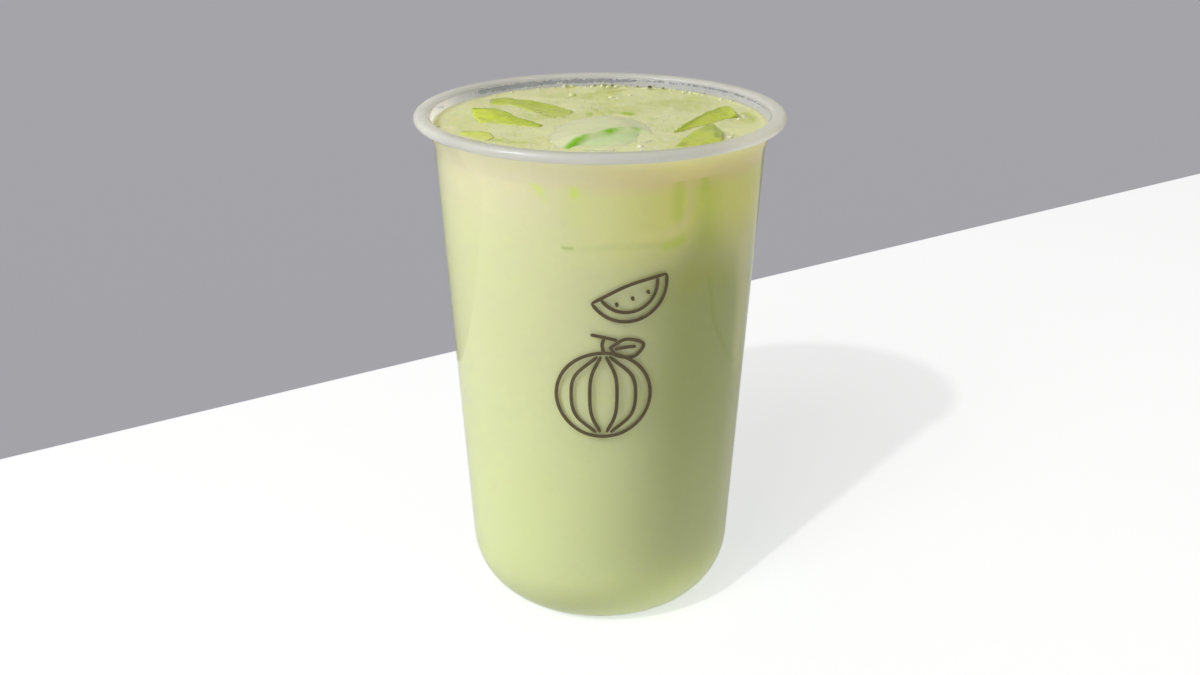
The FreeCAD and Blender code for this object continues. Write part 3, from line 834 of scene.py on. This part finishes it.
class MELONTEA_OT_tea(bpy.types.Operator):
    """Fill the cup with milk tea, froth on top, with its relief round the ice and the wall"""
    bl_idname = "melontea.tea"
    bl_label = "Tea and froth"

    def execute(self, context):
        c, look = props("cup_sizes"), props("tea_look")
        corner, wall, neck = wall_line(c.wall - look.bite, 1)
        floor = c.floor + c.recess - look.bite
        top = surface_level()
        foot = top - look.froth
        plain = (radius_at(wall, look.marks_from), look.marks_from)
        edge = radius_at(neck, top)
        line = [(0.0, floor), (corner[0][0] * 0.5, floor)] + corner + straight(corner[-1], plain, PLAIN_ROWS)
        line += straight(plain, wall[-1], MARKED_ROWS) + [s for s in neck if foot < s[1] < top - 0.2 * MM]
        line += straight((edge, top), (0.0, top), SURFACE_ROWS)
        piece = lathe("milk_tea", thinned(line), TEA_STEPS)
        co = points_of(piece)
        upper = co[:, 2] > top - 0.01 * MM
        far = np.hypot(co[:, 0], co[:, 1])
        wavy = (waves(co, 7.0, 3) * 0.12 + waves(co, 2.0, 5) * 0.05) * ramp((edge - far) / MM)
        climb = 0.35 * ramp(1 - (edge - far) / (1.6 * MM))
        co[:, 2] += np.where(upper, (wavy + climb) * MM, 0)
        set_points(piece, co)
        cloud = waves(co, 14.0, 11)
        patch = surface_patches(co, SURFACE_PATCHES) * np.clip(0.85 + 0.5 * waves(co, 3.0, 2), 0, 1.2)
        cream = ramp((far / edge - 0.66) * 3) * ramp(0.55 + cloud - co[:, 0] / edge)
        warm, dark, creamy = painted_wall_light(co)
        x, z = co[:, 0] / MM, co[:, 2] / MM
        # green, line: ice near the wall or the surface; warm, deep, base: painted daylight, painted shade
        # on the dark side, painted light at the foot; pale, cream, creamy: milk and froth, and pale also a
        # painted light strip at the right edge; side: froth seen through the wall, not from above.
        for name, values in (
            ("green", np.clip(np.where(upper, patch, wall_marks(co, GREEN_MARKS)), 0, 1)),
            ("pale", np.where(upper, ramp(0.3 - cloud) * 0.7, wall_marks(co, PALE_MARKS))),
            ("cream", np.where(upper, cream, 0)),
            ("creamy", creamy),
            # Painted light: the foot of the drink made lighter towards the right.
            ("base", ramp((x + 12) / 34) * ramp((26 - z) / 18)),
            ("warm", warm),
            ("fleck", np.where(upper, surface_patches(co, SURFACE_FLECKS), 0)),
            ("deep", np.maximum(dark, wall_marks(co, PAINTED_SHADE_MARKS))),
            ("line", wall_marks(co, LINE_MARKS)),
            ("side", ~(upper & (far < edge - 0.5 * MM))),
        ):
            set_mask(piece, name, values)
        dress(piece, new_material("MilkTea", tea_finish), new_material("Froth", foam_finish))
        for face in piece.data.polygons:
            face.material_index = int(face.center.z > foot)
        finish_piece(piece, "drink", "drink", "foam")
        return {"FINISHED"}


def ice_block(name, outline, voxel, melt, seed):
    """A melted block: the outline's top face drawn down into the drink, rounded and made uneven.

    voxel is the size of its facets and melt the depth of its unevenness, in millimetres.
    """
    level = surface_level()
    low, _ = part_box(name)
    deselect()
    bpy.ops.mesh.primitive_circle_add(vertices=len(outline), radius=MM, fill_type="NGON")
    piece = named(bpy.context.object, name + "_wet")
    set_points(piece, np.array([(x * MM, y * MM, level + h * MM) for x, y, h in outline]))
    edit_all()
    bpy.ops.mesh.extrude_region_move(TRANSFORM_OT_translate={"value": (0, 0, low.z - level)})
    bpy.ops.transform.resize(value=(0.85, 0.85, 0.2))
    bpy.ops.mesh.select_all(action="SELECT")
    bpy.ops.mesh.normals_make_consistent(inside=False)
    bpy.ops.object.mode_set(mode="OBJECT")
    grid = piece.modifiers.new("Grid", "REMESH")
    grid.mode = "VOXEL"
    grid.voxel_size = voxel * MM
    soft = piece.modifiers.new("Soft", "SMOOTH")
    soft.factor, soft.iterations = 0.5, 2
    apply_modifiers(piece)
    co = points_of(piece)
    rise = waves(co, 6.0, seed) * melt + waves(co, 2.2, seed + 1) * melt * 0.35
    normals = np.empty(len(co) * 3, dtype=np.float32)
    piece.data.vertices.foreach_get("normal", normals)
    set_points(piece, co + normals.reshape(-1, 3) * (rise * MM)[:, None])
    smooth(piece, math.pi)
    return piece


class MELONTEA_OT_ice(bpy.types.Operator):
    """Set the six pieces of ice that break the surface"""
    bl_idname = "melontea.ice"
    bl_label = "Ice"

    def execute(self, context):
        wet = new_material("WetIce", ice_finish)
        for seed, (name, (film, shade, outline)) in enumerate(ICE.items(), start=20):
            piece = ice_block(name, outline, voxel=0.35, melt=0.12, seed=seed)
            co = points_of(piece)
            above = (co[:, 2] - surface_level()) / MM
            tallest = max(h for _, _, h in outline)
            set_mask(piece, "film", np.clip(film + ramp((0.4 - above) * 1.5) * 0.55, 0, 1))
            lines = stroke_strength(co[:, :2] / MM, ICE_SHADE_LINES, shade)
            # edge: painted shade along turned-away faces and over each piece, and darker towards the top of
            # each piece.
            set_mask(piece, "edge", np.maximum(lines, 0.3 * ramp((above / tallest - 0.8) * 5)))
            dress(piece, wet)
            finish_piece(piece, "ice", name)
        self.middle()
        return {"FINISHED"}

    def middle(self):
        """The large piece: a low milky dome with a hollow in front, whose edge shows green."""
        name = "ice_centre"
        piece = ice_block(name, [(x, y, 0.0) for x, y in MIDDLE_ICE], voxel=0.6, melt=0.0, seed=40)
        co = points_of(piece)
        flat = co[:, :2] / MM
        rim = line_distance(flat, MIDDLE_ICE + MIDDLE_ICE[:1])
        edge = line_distance(flat, MIDDLE_EDGE)
        before = np.clip((table(flat[:, 0], MIDDLE_EDGE) - flat[:, 1]) / 2.5, 0, 1)
        upper = ramp((co[:, 2] - (surface_level() - 3.0 * MM)) / (2.5 * MM))
        crown = 1.5 * ramp(rim / 9.0) ** 0.8
        co[:, 2] += upper * (crown - 0.9 * ramp(before) * ramp(rim / 4.0)) * MM
        set_points(piece, co)
        along = table(flat[:, 0], MIDDLE_GREEN)
        band = ramp(1 - edge / (0.9 + 1.5 * along)) * along * np.clip(1.2 + 0.35 * waves(co, 2.2, 8), 0, 1.4)
        band = np.maximum(band, stroke_strength(flat, MIDDLE_SHADE))
        set_mask(piece, "green", np.clip(band * upper, 0, 1))
        set_mask(piece, "mint", ramp(before) * ramp(1.3 - edge / 9.0) * upper)
        dress(piece, new_material("MilkyIce", milky_ice_finish))
        finish_piece(piece, "ice", name)


def dome(name, rings):
    """The upper part of a ball, closed underneath, one unit in radius."""
    deselect()
    bpy.ops.mesh.primitive_ico_sphere_add(subdivisions=rings, radius=1.0)
    piece = named(bpy.context.object, name)
    edit_all()
    bpy.ops.mesh.bisect(plane_co=(0, 0, -0.25), plane_no=(0, 0, 1), clear_inner=True, use_fill=True)
    bpy.ops.object.mode_set(mode="OBJECT")
    return piece


def strew(name, model, spots, material):
    """Copy the model to each spot (x, y, z, size, dark) in one mesh, and remove the model."""
    base = points_of(model)
    faces = [tuple(f.vertices) for f in model.data.polygons]
    verts, all_faces = [], []
    for i, (x, y, z, size, dark) in enumerate(spots):
        verts.append(base * np.array((1, 1, 0.7)) * size + np.array((x, y, z)))
        all_faces += [tuple(v + i * len(base) for v in f) for f in faces]
    joined = bpy.data.meshes.new(name)
    joined.from_pydata(np.concatenate(verts).tolist(), [], all_faces)
    piece = placed(name, joined)
    bpy.data.objects.remove(model)
    core, dark_core = [], []
    for x, y, _, size, dark in spots:
        inwards = np.array((-x, -y, 0)) / max(math.hypot(x, y), 1e-9)
        towards = base @ (inwards * (0.8 if dark else 0.3) + np.array((0, 0, 0.6 if dark else 0.95)))
        core.append(ramp((towards - 0.55) / 0.25) * (size > 0.2 * MM))
        dark_core.append(ramp((towards - 0.72) / 0.12) * dark)
    set_mask(piece, "core", np.concatenate(core))
    set_mask(piece, "dark", np.concatenate(dark_core))
    dress(piece, material)
    smooth(piece, math.pi)
    return piece


class MELONTEA_OT_bubbles(bpy.types.Operator):
    """Scatter bubbles over the froth and along the wall"""
    bl_idname = "melontea.bubbles"
    bl_label = "Bubbles"

    def execute(self, context):
        rng = random.Random(12)
        level = surface_level()
        _, wall, neck = wall_line(props("cup_sizes").wall, 4)
        edge = radius_at(wall[-2:] + neck[1:], level)
        film = new_material("BubbleFilm", bubble_finish)
        outlines = [[(x, y) for x, y, _ in corners] for _, _, corners in ICE.values()]

        def clear_of_ice(x, y):
            return not any(inside(x / MM, y / MM, corners) for corners in outlines)

        fine = []
        while len(fine) < FINE_BUBBLES:
            far = edge * math.sqrt(rng.random())
            a = rng.uniform(0, math.tau)
            x, y = far * math.cos(a), far * math.sin(a)
            size = (0.10 + 0.18 * rng.random() ** 3) * MM
            if far < edge - 0.4 * MM and clear_of_ice(x, y):
                fine.append((x, y, level, size, 0.0))
        finish_piece(strew("fine_bubbles", dome("fine_dome", 2), fine, film), "foam")

        large = []
        for turn, size, dark in BACK_BUBBLES:
            a, far = math.radians(turn), edge - 0.75 * size * MM
            large.append((far * math.sin(a), far * math.cos(a), level + 0.3 * MM, size * MM, dark))
        large += [(x * MM, y * MM, level, size * MM, dark) for x, y, size, dark in LOOSE_BUBBLES]
        for _ in range(WALL_BUBBLES):
            size = (0.25 + 0.4 * rng.random() ** 2) * MM
            a = math.radians(rng.choice((rng.gauss(95, 24), rng.gauss(70, 20), rng.uniform(0, 360))))
            far = edge - size * rng.uniform(0.6, 2.5)
            spot = (far * math.cos(a), far * math.sin(a), level + 0.15 * MM, size, 0.0)
            if all(math.dist(spot[:2], other[:2]) > (size + other[3]) * 0.75 for other in large):
                large.append(spot)
        finish_piece(strew("wall_bubbles", dome("large_dome", 3), large, film), "foam")
        return {"FINISHED"}


class MELONTEA_OT_wall_film(bpy.types.Operator):
    """Leave milk on the clear wall above the drink, with gaps at the back painted dark as shade"""
    bl_idname = "melontea.wall_film"
    bl_label = "Wall film"

    def execute(self, context):
        c, level = props("cup_sizes"), surface_level()
        _, _, neck = wall_line(c.wall, 30)
        rise = straight((0, level - 0.2 * MM), (0, c.height - c.rim_round), 10)
        inner, outer = [[(radius_at(neck, z) - inset * MM, z) for _, z in rise] for inset in (0.04, 0.01)]
        piece = lathe("wall_film", inner + outer[::-1] + inner[:1], FILM_STEPS)
        co = points_of(piece)
        turn = np.degrees(np.arctan2(co[:, 0], co[:, 1]))
        up = (co[:, 2] - level) / MM
        turns, lows, depths = zip(*FILM_BAND)
        low, depth = np.interp(turn, turns, lows), np.interp(turn, turns, depths)
        around = np.stack([turn * 0.75 * MM, np.zeros_like(turn), np.zeros_like(turn)], axis=1)
        depth = depth * (1 - 0.45 * ramp(waves(around, 0.9, 31) * 1.2 - 0.3))
        climb = 0.85 + 0.4 * waves(around, 2.4, 37) + 0.2 * waves(around, 0.8, 41)
        climb += 0.9 * ramp((-56 - turn) / 16) * ramp((150 + turn) / 40)
        set_mask(piece, "foot", ramp((climb - up) / 0.7 + 0.5) * ramp((150 - abs(turn)) / 40))
        above = up - np.maximum(low, climb)
        gap = wall_marks(co, [([(way, level / MM + over) for way, over in FILM_GAP], 0.08, 0.35, 0.9)])
        band = depth * ramp(above / 0.4 + 0.5) * ramp((2.05 - up) / 0.3)
        set_mask(piece, "clear", np.maximum(band, gap))
        set_mask(piece, "blue", ramp((turn + 10) / 60) * ramp((130 - turn) / 40))
        # Painted light: where the film at the far left is made to glow.
        set_mask(piece, "milk", ramp((-58 - turn) / 14))
        dress(piece, new_material("WallFilm", film_finish))
        finish_piece(piece, "foam")
        return {"FINISHED"}


def bend_path(spots, count=14):
    """A smooth chain of points through the given ones."""
    pts = [Vector(s) for s in spots]
    pts = [pts[0] * 2 - pts[1]] + pts + [pts[-1] * 2 - pts[-2]]
    out = []
    for a, b, c, d in zip(pts, pts[1:], pts[2:], pts[3:]):
        for i in range(count):
            t = i / count
            out.append(0.5 * ((2 * b) + (c - a) * t + (2 * a - 5 * b + 4 * c - d) * t * t
                              + (3 * b - a - 3 * c + d) * t ** 3))
    out.append(pts[-2])
    return out


def ring_path(x, y, radius, first=0, last=360, squash=1.0, turn=0, count=48):
    """Points on an arc of an ellipse, by degrees."""
    t = math.radians(turn)
    out = []
    for i in range(count + 1):
        a = math.radians(first + (last - first) * i / count)
        u, v = radius * math.cos(a), radius * squash * math.sin(a)
        out.append(Vector((x + u * math.cos(t) - v * math.sin(t), y + u * math.sin(t) + v * math.cos(t))))
    return out


def melon_strokes():
    """The print, in millimetres: a ribbed melon with its stalk and a leaf, and a cut slice above it."""
    rib = [(0.18, 1.4), (0.86, -3.5), (1, -8.5), (0.86, -13.8), (0.22, -18.2)]
    paths = [[(-1 + bulge * share, y) for share, y in rib] for bulge in (-7.6, -3.2, 3.2, 7.6)]
    stalk, stalk_end = [(-1.0, 2.4), (-1.3, 4.4), (-0.8, 6.2)], [(-4.0, 6.9), (-0.8, 6.2), (2.2, 5.4)]
    leaf = [(0.6, 3.6), (4.2, 5.6), (8.4, 4.2), (6.2, 1.2), (2.2, 1.6), (0.6, 3.6)]
    vein = [(1.6, 3.2), (4.4, 3.6), (6.6, 3.7)]
    strokes = [ring_path(-1.0, -8.5, 11.2, squash=0.96, count=72)]
    strokes += [bend_path(path) for path in (*paths, stalk, stalk_end, leaf, vein)]
    rind, flesh = (ring_path(4.5, 19.5, radius, 180 + cut, 360 - cut, turn=20)
                   for radius, cut in ((9.5, 10), (7.2, 12)))
    a, b = rind[0], rind[-1]
    strokes += [rind, flesh, bend_path([a, (a + b) / 2 + Vector((-0.4, 1.0)), b])]
    for along in (-0.5, 0.0, 0.5):
        mid = (a + b) / 2 + (b - a) * along * 0.42 + Vector((0.5, -1.7))
        strokes.append(bend_path([mid, mid + Vector((0.35, -1.1))], 6))
    return strokes


class MELONTEA_OT_print(bpy.types.Operator):
    """Print a plain melon drawing on the front of the cup"""
    bl_idname = "melontea.print"
    bl_label = "Print"

    def execute(self, context):
        _, wall, _ = wall_line(0.0, 10)
        deselect()
        curve = bpy.data.curves.new("print", "CURVE")
        curve.dimensions = "3D"
        curve.bevel_depth = PRINT_LINE / 2 * MM
        curve.bevel_resolution = 2
        curve.use_fill_caps = True
        for path in melon_strokes():
            closed = (path[0] - path[-1]).length < 1e-4
            if closed:
                path = path[:-1]
            spline = curve.splines.new("POLY")
            spline.points.add(len(path) - 1)
            spline.use_cyclic_u = closed
            for i, (point, spot) in enumerate(zip(spline.points, path)):
                from_end = 2 if closed else min(i, len(path) - 1 - i, 2)
                point.co = ((spot.x + PRINT_MIDDLE[0]) * MM, (spot.y + PRINT_MIDDLE[1]) * MM, 0, 1)
                point.radius = (0.55, 0.85, 1.0)[from_end]
        pick(placed("print", curve))
        bpy.ops.object.convert(target="MESH")
        piece = named(bpy.context.object, "print")
        co = points_of(piece)
        radius = radius_at(wall, co[:, 1])
        turn = co[:, 0] / radius
        out = radius + 0.02 * MM + co[:, 2] * 0.08
        set_points(piece, np.stack([out * np.sin(turn), -out * np.cos(turn), co[:, 1]], axis=1))
        dress(piece, new_material("BrownInk", ink_finish))
        smooth(piece)
        finish_piece(piece, "cup")
        return {"FINISHED"}


class MELONTEA_OT_stage(bpy.types.Operator):
    """Set the floor, the backdrop sheet, the lamps and the camera"""
    bl_idname = "melontea.stage"
    bl_label = "Stage"

    def sheet(self, name, colour, glow, corners, height):
        """A flat sheet with a glow of its own, weaker where it lights other things."""
        mesh = bpy.data.meshes.new(name)
        mesh.from_pydata([(x, y, height) for x, y in corners], [], [tuple(range(len(corners)))])
        piece = placed(name, mesh)

        def matt(n):
            path = n.add("ShaderNodeLightPath").outputs
            seen = n.math("MAXIMUM", path["Is Camera Ray"], path["Is Transmission Ray"])
            tone = n.mix(n.span(n.noise(3.0), 0.3, 0.7), colour, tuple(v * 0.995 for v in colour))
            return n.principled(tone, 0.9, Specular_IOR_Level=0.1, Emission_Color=glow,
                                Emission_Strength=n.math("MAXIMUM", seen, 0.4))

        dress(piece, new_material(name, matt))
        return piece

    def lamp(self, name, power, size, tint, azimuth, elevation, far, sheets, state):
        """A square area lamp that looks at the cup, and includes or excludes the sheets."""
        a, e = math.radians(azimuth), math.radians(elevation)
        way = Vector((math.sin(a) * math.cos(e), -math.cos(a) * math.cos(e), math.sin(e)))
        data = bpy.data.lights.new(name, "AREA")
        data.energy, data.size, data.color = power, size, tint
        lamp = placed(name, data)
        lamp.location = LAMP_AIM + way * far
        lamp.rotation_euler = way.to_track_quat("Z", "Y").to_euler()
        group = bpy.data.collections.new(name)
        for piece in sheets:
            group.objects.link(piece)
        for entry in group.collection_objects:
            entry.light_linking.link_state = state
        lamp.light_linking.receiver_collection = group

    def execute(self, context):
        s = props("stage_settings")
        floor = self.sheet("floor", (0.80, 0.80, 0.80), (0.455, 0.465, 0.53),
                           [(-4, -4), (4, -4), (4, 4), (-4, 4)], -0.1 * MM)
        way = BACKDROP_WAY.normalized() * 3
        side = Vector((-way.y, way.x))
        corners = (-way, way, way + side, side - way)
        backdrop = self.sheet("backdrop", (0.30, 0.297, 0.33), (0.25, 0.2485, 0.292),
                              [tuple(BACKDROP_FOOT + p) for p in corners], 0.0)
        self.lamp("key", s.key_power, 0.3, (0.94, 0.97, 1.0), -57, 42, 0.9, (floor, backdrop), "EXCLUDE")
        for name, size, share in (("floor_lamp", 0.06, 0.55), ("soft_floor_lamp", 1.1, 0.45)):
            self.lamp(name, s.floor_power * share, size, (1.0, 1.0, 1.0), -28, 40, 2.2, (floor,), "INCLUDE")
        world = bpy.data.worlds.new("studio")
        context.scene.world = world
        world.use_nodes = True
        sky = world.node_tree.nodes["Background"].inputs
        sky["Color"].default_value, sky["Strength"].default_value = (*EVEN_LIGHT, 1.0), s.world
        data = bpy.data.cameras.new("camera")
        data.lens, data.sensor_width = s.lens, 36
        camera = placed("camera", data)
        camera.location = CAMERA_PLACE
        camera.rotation_euler = Euler((math.pi / 2 - CAMERA_DIP, 0, 0))
        context.scene.camera = camera
        context.scene.view_settings.view_transform = "Standard"
        return {"FINISHED"}


class MELONTEA_PT_panel(bpy.types.Panel):
    """Lists the pieces in the 3D view's sidebar"""
    bl_label = "Melon tea"
    bl_idname = "MELONTEA_PT_panel"
    bl_space_type = "VIEW_3D"
    bl_region_type = "UI"
    bl_category = "Melon tea"

    def draw(self, context):
        for operator in PIECES:
            self.layout.operator(operator.bl_idname)
        for group in GROUPS:
            box = self.layout.box()
            for key in GROUPS[group].__annotations__:
                box.prop(getattr(context.scene, group), key)


GROUPS = {"cup_sizes": CupSizes, "tea_look": TeaLook, "stage_settings": StageSettings}
PIECES = (MELONTEA_OT_cup, MELONTEA_OT_tea, MELONTEA_OT_ice,
          MELONTEA_OT_bubbles, MELONTEA_OT_wall_film, MELONTEA_OT_print, MELONTEA_OT_stage)


def register():
    for cls in (*GROUPS.values(), *PIECES, MELONTEA_PT_panel):
        bpy.utils.register_class(cls)
    for name, cls in GROUPS.items():
        setattr(bpy.types.Scene, name, PointerProperty(type=cls))


def unregister():
    for name in GROUPS:
        delattr(bpy.types.Scene, name)
    for cls in (MELONTEA_PT_panel, *reversed(PIECES), *reversed(GROUPS.values())):
        bpy.utils.unregister_class(cls)


def main():
    register()
    for operator in PIECES:
        area, name = operator.bl_idname.split(".")
        getattr(getattr(bpy.ops, area), name)()


if __name__ == "__main__":
    main()
